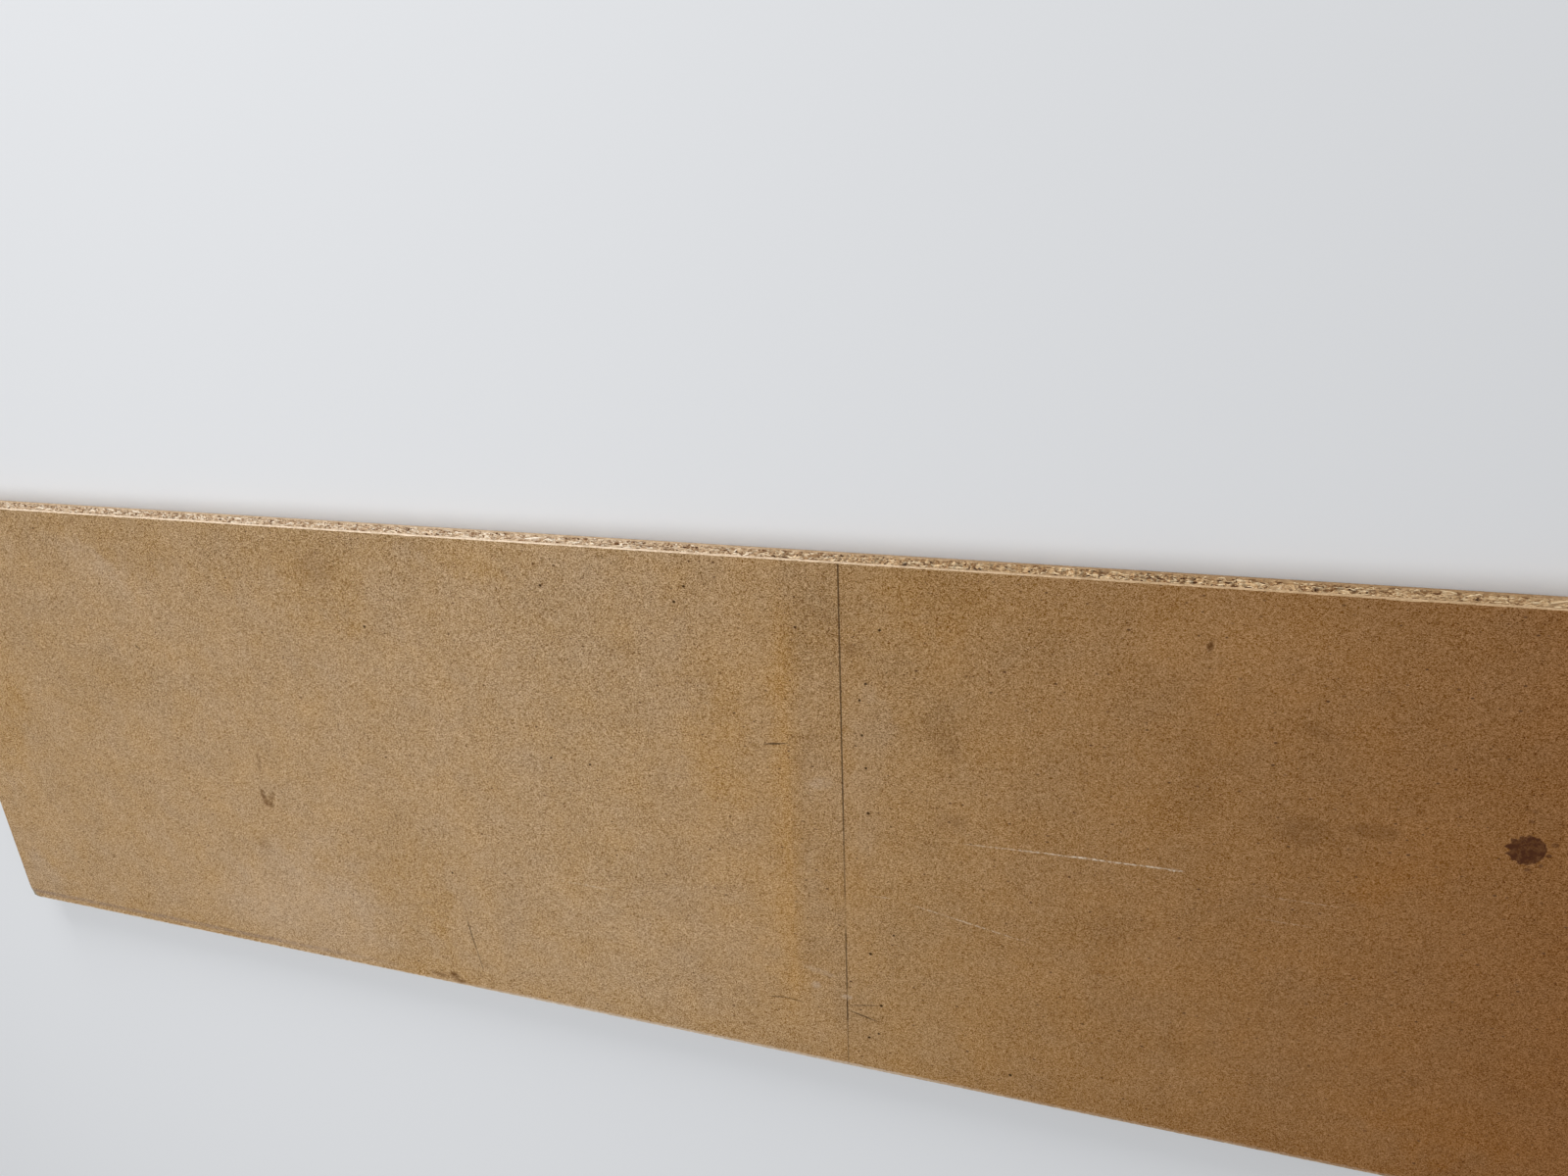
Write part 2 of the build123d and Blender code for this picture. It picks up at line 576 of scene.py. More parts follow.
class FaceShader(Shader):
    """Both sanded faces. The methods share where a point is, in millimetres, and a few noises."""

    def __init__(self, colours):
        super().__init__("sanded_face")
        self.colours = colours
        place = self.place()
        self.flat = self.vector("MULTIPLY_ADD", place, (1 / MM, 1 / MM, 0.0), (0.0, 0.0, 1.0))
        self.x, self.y, _ = self.parts(self.flat)
        self.from_lower_arris = self.y + HALF_WIDTH / MM
        self.upper = self.math("GREATER_THAN", self.parts(place)[2], THICKNESS / 2)

        # The upper face shows other grain than the lower one
        shift = (411.0, 273.0, 0.0)
        self.pattern = self.vector("MULTIPLY_ADD", self.triple(self.upper), shift, self.flat)
        self.lying, _ = self.grains(self.pattern, (0.95, 1.80))
        self.upright, _ = self.grains(self.pattern, (1.85, 1.15))
        self.clump = self.cloud(self.pattern, 0.20, 2.0, 0.55)
        self.smear = self.cloud(self.pattern, 0.11, 3.0, 0.7)
        self.drift = self.cloud(self.pattern, 0.013, 4.0, 0.62)
        self.turn = self.cloud(self.pattern, 0.021, 3.0, 0.6)
        self.sway = (self.turn - 0.5) * 9.0
        rough_noise = self.cloud(self.pattern, 0.42, 2.0, 0.7, output="Color")
        self.rough = self.shaken(self.flat, rough_noise, 2.5)
        self.jagged = self.shaken(self.flat, rough_noise, 0.8)

    def particles(self):
        """Pressed particles about a millimetre across, and some stronger ones among them."""
        strong, from_strong = self.grains(self.pattern, (0.35, 0.48))
        stronger = self.rise(from_strong, 0.10, 0.25, 1.0, 0.0) * (strong[0] * strong[0])
        swing = (self.lying[0] + self.upright[0] - 1.0) * 0.60 + (self.clump - 0.5) * 0.10
        return swing + stronger * (strong[1] - 0.60) * 1.30

    def drifts(self, toned):
        """Slow drifts: how much paler and how much yellower the face is at a point."""
        moved = self.join((self.drift - 0.5) * 90.0, (self.turn - 0.5) * 90.0, 0.0)
        soft = self.vector("ADD", self.flat, moved)
        paler = yellower = 0.0
        for middle, radii, angle, more_pale, more_yellow in DRIFTING_AREAS:
            here = oval(self, soft, middle, radii, angle)
            paler = self.math("MULTIPLY_ADD", here, more_pale, paler)
            yellower = self.math("MULTIPLY_ADD", here, more_yellow, yellower)

        # The greyer stretch up to the pencil line, and the yellow strip beside it
        x, y = self.x, self.y
        border = x + self.sway * 0.5
        beside = self.rise(border, -28.0, -22.5) * self.rise(x, 26.0, 38.0, 1.0, 0.0)
        beside = beside * self.rise(y, -262.0, -200.0)
        strip = self.rise(x + self.sway, -52.0, -34.0) * self.rise(border, -19.0, -8.0, 1.0, 0.0)
        strip = strip + self.rise(border, -38.0, -30.0) * self.rise(border, -25.0, -17.0, 0.6, 0.0)
        strip = strip * self.rise(y, 210.0, 290.0, 1.0, 0.0) * self.rise(y, -290.0, -190.0)
        paler = paler - beside * 0.50
        yellower = yellower + strip * 0.7 - beside * self.rise(y, 90.0, 190.0, 0.35, 0.10)

        # The warm band along the lower arris, and the slow darkening towards the upper one, which is
        # painted shade
        low = self.rise(self.from_lower_arris + self.sway, 19.0, 43.0, 1.0, 0.0)
        darker = self.rise(y, -60.0, 300.0) * (0.50 - toned * 0.45)
        paler = (paler - low * 0.40 - darker) * self.upper
        yellower = (yellower + low * 0.45) * self.upper
        return paler + (self.drift - 0.5) * 1.9, yellower + (self.turn - 0.5) * 2.2

    def ground(self, swing):
        """The bare face: light tan over its left half, browner to the right, with its particles. The
        browning is partly the board's own tone and partly painted shade of light falling off to the
        right.
        """
        toned = self.rise(self.x, -250.0, 500.0)
        paler, yellower = self.drifts(toned)
        even = paler * 0.10 + 1.0
        red = even + yellower * 0.015 + swing * (1.48 - toned * 0.33)
        green = even - yellower * 0.030 + swing * (1.80 - toned * 0.26)
        blue = even - yellower * 0.160 + swing * (2.45 + toned * 0.25)
        # Partly painted shade: the face darkens and browns to the right as the light falls off
        along = self.ramp((self.x + HALF_LENGTH / MM) / (LENGTH / MM), [
            (0.40, self.colours.face_pale), (0.54, self.colours.face_middle),
            (0.66, self.colours.face_toned), (0.84, self.colours.face_brown)])
        return self.vector("MULTIPLY", along, self.join(red, green, blue))

    def specks(self):
        """The share of bark specks at random places, most of them faint."""
        number, far = self.grains(self.pattern, (0.085, 0.135))
        size = number[0] * number[0] * 0.12 + 0.06
        return self.rise(far, size * 0.55, size, 1.0, 0.0) * (number[1] ** 5.0 * 1.1 + 0.06)

    def placed_specks(self):
        """The share of the bark specks that show clearly."""
        rounds = [(middle, (radius, radius * 0.9), 0, 1) for middle, radius in BARK_SPECKS]
        return gather(self, self.jagged, rounds, 0.35) * self.upper

    def worn(self, colour):
        """The grey scuff along the lower arris, the worn arris, and rubbed and dirty places."""
        patchy = self.rise(self.smear, 0.32, 0.62, 0.45, 1.0)
        from_scuff = abs(self.from_lower_arris - 11.0 + self.sway * 0.25)
        scuff = self.rise(from_scuff, 1.0, 5.0, 1.0, 0.0) * patchy
        scuff = scuff * self.rise(self.x, -850.0, -450.0, 0.52, 0.0)
        colour = self.mix(scuff * self.upper, colour, self.colours.scuff)
        ragged = self.from_lower_arris + (self.clump - 0.5) * 3.0
        along = self.rise(self.x, -620.0, -300.0, 0.0, 0.85) - self.rise(self.x, 60.0, 230.0, 0.0, 0.55)
        arris = self.rise(ragged, 2.6, 4.6, 1.0, 0.0) * along
        rub = self.math("MAXIMUM", arris, gather(self, self.rough, PALE_RUBS) * patchy)
        colour = self.mix(rub * self.upper, colour, self.colours.rub)
        dirt = gather(self, self.rough, DIRT) * patchy
        return self.mix(dirt * self.upper, colour, self.colours.dirt)

    def graphite(self):
        """The share of pencil: the line squared across the sheet, and ticks."""
        down = (HALF_WIDTH / MM - self.y) / (WIDTH / MM)
        shade = self.ramp(down, [(stop, (dark, dark, dark)) for stop, dark in PENCIL_SHADES])
        line = self.rise(abs(self.x - PENCIL_LINE_X), 0.45, 1.20, 1.0, 0.0) * self.parts(shade)[0]
        drawn = self.math("MAXIMUM", line, gather(self, self.jagged, PENCIL_TICKS, 0.2))
        return drawn * (self.lying[1] * 0.30 + 0.80) * self.upper

    def scratches(self):
        """The share of the pale scratches."""
        broken_up = self.rise(self.clump, 0.40, 0.58, 0.20, 1.0)
        scratched = gather(self, self.jagged, SCRATCHES, 0.1) * broken_up
        return scratched * (self.lying[2] * 0.5 + 0.6) * self.upper

    def splash(self):
        """The share of the dried splash, which ran out in points towards the left, and its drops."""
        from_x = self.x - SPLASH_MIDDLE[0]
        from_y = self.y - SPLASH_MIDDLE[1]
        far = self.math("SQRT", from_x * from_x + from_y * from_y)
        angle = self.math("ARCTAN2", from_y, from_x)
        points = self.math("SINE", angle * SPLASH_POINTS) * 0.5 + 0.5
        reach = points * (1.6 - from_x / (far + 0.01) * 1.3) + (self.smear - 0.5) * 7.0
        blot = self.rise(far - (reach + SPLASH_RADIUS), -0.9, 0.9, 1.0, 0.0)
        return self.math("MAXIMUM", blot, gather(self, self.jagged, SPLASH_DROPS, 0.3)) * self.upper

    def blotches(self):
        """How dark the dried splash is, from place to place."""
        return self.rise(self.cloud(self.pattern, 0.20, 2.0, 0.6), 0.38, 0.62, 0.98, 0.74)


def sanded_face(colours):
    """The sanded faces: fine pressed particles, bark specks and, on the upper face, its marks."""
    face = FaceShader(colours)
    swing = face.particles()
    specks = face.specks()
    graphite = face.graphite()
    splash = face.splash()

    colour = face.mix(specks, face.ground(swing), colours.bark)
    colour = face.mix(face.placed_specks(), colour, colours.pencil)
    colour = face.worn(colour)
    colour = face.mix(graphite, colour, colours.pencil)
    colour = face.mix(face.scratches(), colour, colours.scratch)
    colour = face.mix(splash * face.blotches(), colour, colours.stain)

    roughness = 0.82 - graphite * 0.25 - splash * 0.12 + swing * 0.10
    height = (face.lying[0] + face.upright[0]) * 0.5 - specks * 0.6
    return face.finish(colour, roughness, height, 0.12 * MM, 0.55, 0.12)


# How deep the relief of the sawn edges may go, in millimetres
EDGE_DEPTH = 4.0

# The ends take their grain from this far along, past both long edges
END_SHIFT = 3000.0


def along_edge(shader):
    """A point of a sawn edge in millimetres, and how far along and up the edge it is, as a vector."""
    x, y, z = shader.parts(shader.vector("MULTIPLY", shader.place(), (1 / MM,) * 3))
    at_end = shader.math("GREATER_THAN", abs(x), HALF_LENGTH / MM - EDGE_DEPTH)
    along = x + (y + END_SHIFT - x) * at_end
    return (x, y, z), shader.join(along, z, 0.0)


def scored(shader, x, run):
    """How light the saw's faint upright scores leave the edge: they show most in the middle."""
    scores = shader.cloud(shader.vector("MULTIPLY", run, (1.0, 0.10, 0.0)), 0.32, 3.0, 0.6)
    strength = shader.rise(x, -120.0, 60.0, 0.50, 1.55) - shader.rise(x, 420.0, 520.0, 0.0, 1.10)
    return (scores - 0.5) * strength + 1.0


def edge_marks(shader, place, run, colour, colours):
    """The large pale chips and the dark bits of bark on the upper edge."""
    x, y, z = place
    ragged = (shader.cloud(run, 0.45, 2.0, 0.6) - 0.5) * 5.0
    point = shader.join(x + ragged, z + ragged, 1.0)
    here = shader.math("GREATER_THAN", y, HALF_WIDTH / MM - EDGE_DEPTH)
    pale = gather(shader, point, EDGE_CHIPS, 0.4) * here
    dark = gather(shader, point, EDGE_SPECKS, 0.3) * here
    colour = shader.mix(pale, colour, colours.fine_layer)
    return shader.mix(dark, colour, colours.bark)


def browner(shader, x, colour, end, tint):
    """Turns an edge's colour browner towards the right, up to where it is brownest: partly the board's
    own tone, partly painted shade of light falling off to the right.
    """
    return shader.mix(shader.rise(x, -320.0, end), colour, shader.vector("MULTIPLY", colour, tint))


def browner_core(shader, x, colour):
    """The core is brown soon past the middle, and the fine layers only further right, partly as painted
    shade.
    """
    return browner(shader, x, colour, 170.0, (0.77, 0.675, 0.52))


def sawn_layer(shader, x, fine, colours):
    """The fine layers under both faces, pale and even."""
    pale = Vector(colours.fine_layer)
    colour = shader.mix(
        shader.rise(fine, 0.15, 0.9), pale * Vector((0.72, 0.68, 0.62)),
        pale * Vector((1.12, 1.13, 1.15)))
    return browner(shader, x, colour, 400.0, (0.67, 0.57, 0.435))


def sawn_core(shader, place, run, stuff, gaps, colours):
    """The dust and small stuff of the core, with its gaps and marks."""
    colour = shader.ramp(stuff, [
        (0.0, colours.bark), (0.18, paint(128, 96, 66)), (0.42, colours.core),
        (0.70, paint(202, 178, 148)), (1.0, paint(228, 209, 184))])
    colour = shader.mix(gaps * 0.7, colour, colours.gap)
    colour = shader.vector("MULTIPLY", colour, shader.triple(scored(shader, place[0], run)))
    return browner_core(shader, place[0], edge_marks(shader, place, run, colour, colours))


def painted_edge_shade(shader, place, colour, dust, colours):
    """Paints shade: the edge darker towards the underside, and the broken corner's facet greyer."""
    x, y, z = place
    # Painted shade: the edge darker towards the underside
    shaded_underside = shader.vector("MULTIPLY", colour, (0.68, 0.62, 0.54))
    colour = shader.mix(shader.rise(z, 2.0, 10.0, 1.0, 0.0), colour, shaded_underside)
    below_face = THICKNESS / MM - z
    from_corner = x + y + (HALF_LENGTH + HALF_WIDTH) / MM
    # Painted shade on the broken corner's facet, which turns only a little from the face
    facet = shader.rise(below_face, 2.5, 3.5, 1.0, 0.0) * shader.rise(from_corner, 9.0, 25.0, 1.0, 0.0)
    return shader.mix(facet * (dust * 0.4 + 0.6), colour, colours.grime)


def sawn_edge(colours, sizes):
    """The sawn edges behind the flakes: fine pale layers under both faces and a coarse core."""
    shader = Shader("sawn_edge")
    place, run = along_edge(shader)
    x, _, z = place

    layer = sizes.fine_layer / MM
    from_face = shader.math("MINIMUM", z, THICKNESS / MM - z)
    wander = (shader.cloud(run, 0.13, 3.0, 0.65) - 0.5) * 5.0
    in_core = shader.rise(from_face + wander, layer - 1.2, layer + 1.0)

    dust, _ = shader.grains(run, (0.9, 1.3))
    stuff, stuff_far = shader.grains(run, (0.21, 0.62))
    fine = (dust[0] + stuff[0]) * 0.5
    gaps = shader.rise(shader.cloud(run, 0.42, 3.0, 0.6), 0.30, 0.46, 1.0, 0.0)
    core = sawn_core(shader, place, run, stuff[1] * 0.75 + dust[1] * 0.25, gaps, colours)
    colour = shader.mix(in_core, sawn_layer(shader, x, fine, colours), core)
    colour = painted_edge_shade(shader, place, colour, dust[1], colours)

    roughness = 0.88 - dust[2] * 0.08
    height = fine * 0.5 + (stuff[1] - stuff_far * 0.3 - gaps) * in_core
    return shader.finish(colour, roughness, height, 0.5 * MM, 0.7)


def wood_flake(colours):
    """The sawn flakes: each has a tone of its own and fine grain along it."""
    shader = Shader("wood_flake")
    place, run = along_edge(shader)
    x = place[0]
    tone = shader.add("ShaderNodeAttribute", {"attribute_name": "tone"}, output="Fac")
    later = shader.rise(x, 420.0, 520.0)
    tone = (tone - 0.5) * (shader.rise(x, -120.0, 60.0, 1.03, 1.28) - later * 0.55) + later * 0.08 + 0.5
    colour = shader.ramp(tone, [
        (0.0, colours.bark), (0.10, paint(120, 83, 50)), (0.26, paint(168, 138, 106)),
        (0.50, paint(203, 180, 151)), (0.74, paint(225, 207, 182)), (1.0, paint(244, 232, 213))])
    grain, _ = shader.grains(run, (0.26, 2.6))
    shade = (grain[0] * 0.26 + 0.86) * scored(shader, x, run)
    colour = shader.vector("MULTIPLY", colour, shader.triple(shade))
    colour = browner_core(shader, x, edge_marks(shader, place, run, colour, colours))
    return shader.finish(colour, 0.80 - grain[1] * 0.1, grain[0], 0.15 * MM, 0.5)


class Side:
    """One sawn side: its start, run and outward direction, and what shifts its random relief."""

    def __init__(self, name, start, along, outward, length, shift):
        self.name = name
        self.start = Vector((*start, 0.0))
        self.along = Vector((*along, 0.0))
        self.outward = Vector((*outward, 0.0))
        self.length = length
        self.shift = shift

    def point(self, distance, height, inset):
        """A point so far along the side, so high above the underside and so deep in it."""
        place = self.start + self.along * distance - self.outward * inset
        return Vector((place.x, place.y, height))


SIDES = [
    Side("lower_edge", (-HALF_LENGTH, -HALF_WIDTH), (1, 0), (0, -1), LENGTH, 11.0),
    Side("right_end", (HALF_LENGTH, -HALF_WIDTH), (0, 1), (1, 0), WIDTH, 23.0),
    Side("upper_edge", (HALF_LENGTH, HALF_WIDTH), (-1, 0), (0, 1), LENGTH, 37.0),
    Side("left_end", (-HALF_LENGTH, HALF_WIDTH), (0, -1), (-1, 0), WIDTH, 53.0),
]


def core_share(height, layer):
    """0 in the fine layers under the faces and 1 in the coarse core."""
    from_face = min(height, THICKNESS - height)
    blend = 0.8 * MM
    return ease(from_face, layer - blend, layer + blend)


# The cells that gaps between flakes fill, and the stretch over which they are more or fewer
PIT_LENGTH = 5.5 * MM
PIT_HEIGHT = 4.4 * MM
CROWD_LENGTH = 70 * MM

# The lumps of the sawn surface, and how rough the fine layers are
LUMP_LENGTH = 5.0 * MM
LUMP_HEIGHT = 2.2 * MM
FINE_ROUGHNESS = 0.10 * MM

# How long the nicks of the arrises are, and how deep an arris is blunt for its width, where
# the sheet stood on it and elsewhere
NICK_LENGTH = 6.0 * MM
WORN_SLOPE = 0.26
BLUNT_SLOPE = 0.8


def pit_share_at(side, distance, height, sizes):
    """How deep in a gap between flakes a point is, from 0 at its rim to 1 at its middle."""
    spot = Vector((distance / PIT_LENGTH, height / PIT_HEIGHT, side.shift))
    far, middles = noise.voronoi(spot)
    crowd = noise.noise(Vector((distance / CROWD_LENGTH, 0.0, side.shift + 3.0)))
    if noise.cell(middles[0] * 97.3) > sizes.pit_share * (1.0 + 0.8 * crowd):
        return 0.0
    return ease(0.66 - far[0], 0.0, 0.42)


def relief(side, distance, height, sizes):
    """How far the sawn surface lies behind the saw cut at a point of a side."""
    spot = Vector((distance / LUMP_LENGTH, height / LUMP_HEIGHT, side.shift))
    rough = 0.5 + 0.5 * noise.fractal(spot, 0.8, 2.0, 3)
    fine = FINE_ROUGHNESS * rough
    core = sizes.core_recess + sizes.core_roughness * (rough - 0.5) * 2
    core += sizes.pit_depth * pit_share_at(side, distance, height, sizes)
    share = core_share(height, sizes.fine_layer)
    return max(fine + (core - fine) * share, 0.0)


def arris_reach(side, distance, top, sizes):
    """How far the arris is blunt in from the side and down it, most where the sheet stood on it."""
    spot = Vector((distance / NICK_LENGTH, side.shift, 7.0 if top else 2.0))
    wear = 0.5 + 0.5 * noise.fractal(spot, 0.7, 2.1, 4)
    if side.name == "lower_edge" and top:
        share = min(max(wear * 1.5 - 0.35, 0.0), 1.0)
        width = sizes.arris + (sizes.worn_arris - sizes.arris) * share
        return Vector((width, width * WORN_SLOPE))
    nick = max(noise.noise(spot * 0.21) - 0.42, 0.0) * 3.0 * MM
    width = sizes.arris * (0.7 + 0.6 * wear) + (nick if top else 0.0)
    return Vector((width, width * BLUNT_SLOPE))


def row_heights(sizes):
    """Heights of the mesh rows across a sawn side, from the upper arris to the lower one."""
    layer = sizes.fine_layer
    in_layer = 2.6 * MM
    margin = 0.5 * MM
    highest = THICKNESS - layer - margin
    core_height = highest - layer - margin
    count = round(core_height / sizes.row_step)
    core = [highest - core_height * i / count for i in range(count + 1)]
    return [THICKNESS - in_layer, THICKNESS - layer + margin, *core, layer - margin, in_layer]


def ring_inset(reach, spacing):
    """Points round the face, so far in from its rim and so far apart."""
    points = []
    for side in SIDES:
        run = side.length - 2 * reach
        count = max(round(run / spacing), 1)
        for i in range(count):
            points.append(side.point(reach + run * i / count, 0.0, reach).xy)
    return points


# Points on a face: rings, each so far in from the rim and so far apart, and a grid inside them
FACE_RINGS = ((5 * MM, 5 * MM), (14 * MM, 14 * MM), (34 * MM, 30 * MM))
GRID_INSET = 75 * MM
GRID_SPACING = 55 * MM


def face_points(top):
    """Points inside a face: dense near its rim, and near the broken corner of the upper one."""
    points = []
    for reach, spacing in FACE_RINGS:
        points += ring_inset(reach, spacing)
    length = LENGTH - 2 * GRID_INSET
    width = WIDTH - 2 * GRID_INSET
    columns = round(length / GRID_SPACING)
    rows = round(width / GRID_SPACING)
    for i in range(columns + 1):
        for j in range(rows + 1):
            points.append(Vector((
                -HALF_LENGTH + GRID_INSET + length * i / columns,
                -HALF_WIDTH + GRID_INSET + width * j / rows)))
    if top:
        fine = 1.0 * MM
        columns = round((CHIP_ALONG_LENGTH + 3 * MM) / fine)
        rows = round((CHIP_ALONG_WIDTH + 9 * MM) / fine)
        for i in range(2, columns):
            for j in range(2, rows):
                points.append(Vector((-HALF_LENGTH + i * fine, -HALF_WIDTH + j * fine)))
    return points


def cap(ring, top, height):
    """Fills a ring of points with triangles over more points inside it: new places and faces."""
    flat = [Vector((p.x, p.y)) for p in ring] + face_points(top)
    places, _, faces, came_from, _, part_of = delaunay_2d_cdt(
        flat, [], [list(range(len(ring)))], 1, 1e-7, True)
    index = []
    added = []
    for spot, sources in zip(places, came_from):
        ring_source = [s for s in sources if s < len(ring)]
        if ring_source:
            index.append(ring_source[0])
        else:
            index.append(len(ring) + len(added))
            added.append(Vector((spot.x, spot.y, height)))
    return added, [[index[i] for i in face] for face, whole in zip(faces, part_of) if whole]


# How far crumbs are missing behind the broken corner's facet
DEEPEST_CRUMB = 0.9 * MM

# Points nearer to the facet than this stand closer together and carry no flakes
CHIP_MARGIN = 2 * MM


def chip_plane():
    """A point on the broken corner's facet, and the way it faces."""
    corner = Vector((-HALF_LENGTH, -HALF_WIDTH, THICKNESS))
    on_long_arris = corner + Vector((CHIP_ALONG_LENGTH, 0, 0))
    on_short_arris = corner + Vector((0, CHIP_ALONG_WIDTH, 0))
    on_corner_edge = corner - Vector((0, 0, CHIP_INTO_THICKNESS))
    outwards = (on_short_arris - on_long_arris).cross(on_corner_edge - on_long_arris).normalized()
    return on_long_arris, outwards if outwards.dot(corner - on_long_arris) > 0 else -outwards


def beyond_chip(place):
    """How far a point lies beyond the broken corner's facet."""
    on_facet, outwards = chip_plane()
    return (place - on_facet).dot(outwards)


def break_corner(places):
    """Pushes back every point that lies where the corner has broken off, and says which they are."""
    _, outwards = chip_plane()
    crumbs_per_metre = 450
    broken = set()
    for i, place in enumerate(places):
        over = beyond_chip(place)
        if over > 0:
            crumb = DEEPEST_CRUMB * (0.5 + 0.5 * noise.fractal(place * crumbs_per_metre, 0.7, 2.0, 3))
            places[i] = place - outwards * (over + min(crumb, over))
            broken.add(i)
    return broken


def side_columns(side, sizes):
    """Distances along a side of its columns of points, closer together at the broken corner."""
    run = side.length - 2 * CORNER_BREAK
    count = round(run / sizes.column_step)
    columns = [CORNER_BREAK + run * i / count for i in range(count + 1)]
    close = [(a + b) / 2 for a, b in zip(columns, columns[1:])
             if beyond_chip(side.point((a + b) / 2, THICKNESS, 0.0)) > -CHIP_MARGIN]
    return sorted(columns + close)


def sheet_geometry(sizes):
    """The whole sheet as points and faces, and for each face whether it is sawn or broken."""
    heights = row_heights(sizes)
    places = []
    columns = 0
    for side in SIDES:
        for distance in side_columns(side, sizes):
            # The relief and the blunt arrises fade towards the sheet's corners
            from_corner = min(distance, side.length - distance) - CORNER_BREAK
            fade = ease(from_corner, -0.1 * MM, 5 * MM)
            above = arris_reach(side, distance, True, sizes) * (0.4 + 0.6 * fade)
            below = arris_reach(side, distance, False, sizes) * (0.4 + 0.6 * fade)
            column = [(THICKNESS, above.x), (THICKNESS - above.y, 0.0)]
            column += [(h, relief(side, distance, h, sizes) * fade) for h in heights]
            column += [(below.y, 0.0), (0.0, below.x)]
            places += [side.point(distance, h, inset) for h, inset in column]
            columns += 1
    rows = len(column)
    faces = []
    for i in range(columns):
        j = (i + 1) % columns
        for r in range(rows - 1):
            faces.append((i * rows + r, i * rows + r + 1, j * rows + r + 1, j * rows + r))
    sawn = len(faces)

    for top, row, height in ((True, 0, THICKNESS), (False, rows - 1, 0.0)):
        ring_index = [i * rows + row for i in range(columns)]
        added, caps = cap([places[i] for i in ring_index], top, height)
        start = len(places)
        places += added
        for face in caps:
            corners = [ring_index[i] if i < columns else start + i - columns for i in face]
            faces.append(corners if top else corners[::-1])
    broken = break_corner(places)
    rough = [i < sawn or broken.issuperset(face) for i, face in enumerate(faces)]
    return places, faces, rough


def make_sheet(context):
    """Builds the sheet that stands for the solid."""
    scene = context.scene
    sizes = scene.board_sheet
    places, faces, rough = sheet_geometry(sizes)
    mesh = bpy.data.meshes.new("sheet")
    mesh.from_pydata(places, [], faces)
    mesh.materials.append(sanded_face(scene.board_colours))
    mesh.materials.append(sawn_edge(scene.board_colours, sizes))
    mesh.polygons.foreach_set("material_index", [int(it) for it in rough])
    mesh.polygons.foreach_set("use_smooth", rough)
    mesh.validate()
    sheet = bpy.data.objects.new("sheet", mesh)
    scene.collection.objects.link(sheet)
    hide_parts("particle_board")
    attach(sheet, "root")
    return sheet


class GeometryTree(Nodes):
    """A Geometry Nodes tree with named inputs."""

    def __init__(self, name, inputs):
        super().__init__(bpy.data.node_groups.new(name, "GeometryNodeTree"))
        self.identifiers = {}
        for label, kind in inputs.items():
            socket = self.tree.interface.new_socket(label, in_out="INPUT", socket_type=kind)
            self.identifiers[label] = socket.identifier
        self.tree.interface.new_socket("geometry", in_out="OUTPUT", socket_type="NodeSocketGeometry")
        self.given = self.tree.nodes.new("NodeGroupInput")

    def __getitem__(self, label):
        return Number(self, self.given.outputs[label])

    def random(self, low, high, seed):
        """A number of its own for each point."""
        sockets = {2: low, 3: high, "Seed": seed}
        return self.add("FunctionNodeRandomValue", {"data_type": "FLOAT"}, sockets, output=1)

    def keep(self, geometry, name, value):
        """Stores a number with each point under a name."""
        settings = {"data_type": "FLOAT", "domain": "POINT"}
        sockets = {"Geometry": geometry, "Name": name, "Value": value}
        return self.add("GeometryNodeStoreNamedAttribute", settings, sockets)

    def kept(self, name):
        """The number that was stored under a name."""
        return self.add("GeometryNodeInputNamedAttribute", {"data_type": "FLOAT"}, {"Name": name})

    def move(self, geometry, **sockets):
        return self.add("GeometryNodeSetPosition", None, {"Geometry": geometry, **sockets})

    def finish(self, geometry, material):
        """Ends the tree in a shape and its material."""
        coated = self.add("GeometryNodeSetMaterial", None, {"Geometry": geometry, "Material": material})
        result = self.tree.nodes.new("NodeGroupOutput")
        self.feed(result.inputs[0], coated)


# The shares of the flakes that are large chips and that stand steeply
LARGE_CHIPS = 0.008
STEEP_FLAKES = 0.26


def flake_sizes(tree):
    """Each flake's length and width, how far back it ends, how large its kind is and if it's a chip."""
    # Most flakes are short and slim, and a few are several times larger
    large = tree.random(0.0, 1.0, 1) ** 2.6
    own = tree.random(0.0, 1.0, 2) ** 2.2
    length = (tree["longest"] - tree["shortest"]) * large + tree["shortest"]
    width = (tree["stoutest"] - tree["slimmest"]) * (large * 0.55 + own * 0.45) + tree["slimmest"]

    # One in a hundred or so is a large chip, which is stouter too and ends at the saw cut
    stouter = 0.8 * MM
    chip = tree.math("GREATER_THAN", tree.random(0.0, 1.0, 11), 1 - LARGE_CHIPS)
    length = length + chip * tree["chip"]
    width = width + chip * (tree["slimmest"] + stouter)
    back = tree.random(-1.0, 0.0, 7) * tree["set_back"] * (1.0 - chip)
    return length, width, back, large, chip


def flake_turn(tree):
    """The flakes lie in the plane of the sheet, and some lean out of it."""
    lean = tree.random(0.0, 1.0, 3) ** 1.4 * tree.math("SIGN", tree.random(-1.0, 1.0, 4))
    steep = tree.math("GREATER_THAN", tree.random(0.0, 1.0, 5), 1 - STEEP_FLAKES)
    angle = lean * tree["tilt"] + steep * tree.random(-1.3, 1.3, 6)
    swing = tree.random(-1.0, 1.0, 12) * tree["swing"]
    return tree.join(0.0, swing, angle)


def flake_tone(tree, large, chip):
    """Like tones lie together, and the large flakes are mostly pale."""
    spot = tree.vector("MULTIPLY", tree.add("GeometryNodeInputPosition"), (170.0, 210.0, 0.0))
    crowd = tree.add("ShaderNodeTexNoise", None, {"Vector": spot, "Scale": 1.0, "Detail": 1.0})
    tone = tree.random(0.0, 1.0, 8) * 0.88 + (crowd * 1.30 - 0.67)
    return chip * 0.25 + (large * 0.35 + tone)


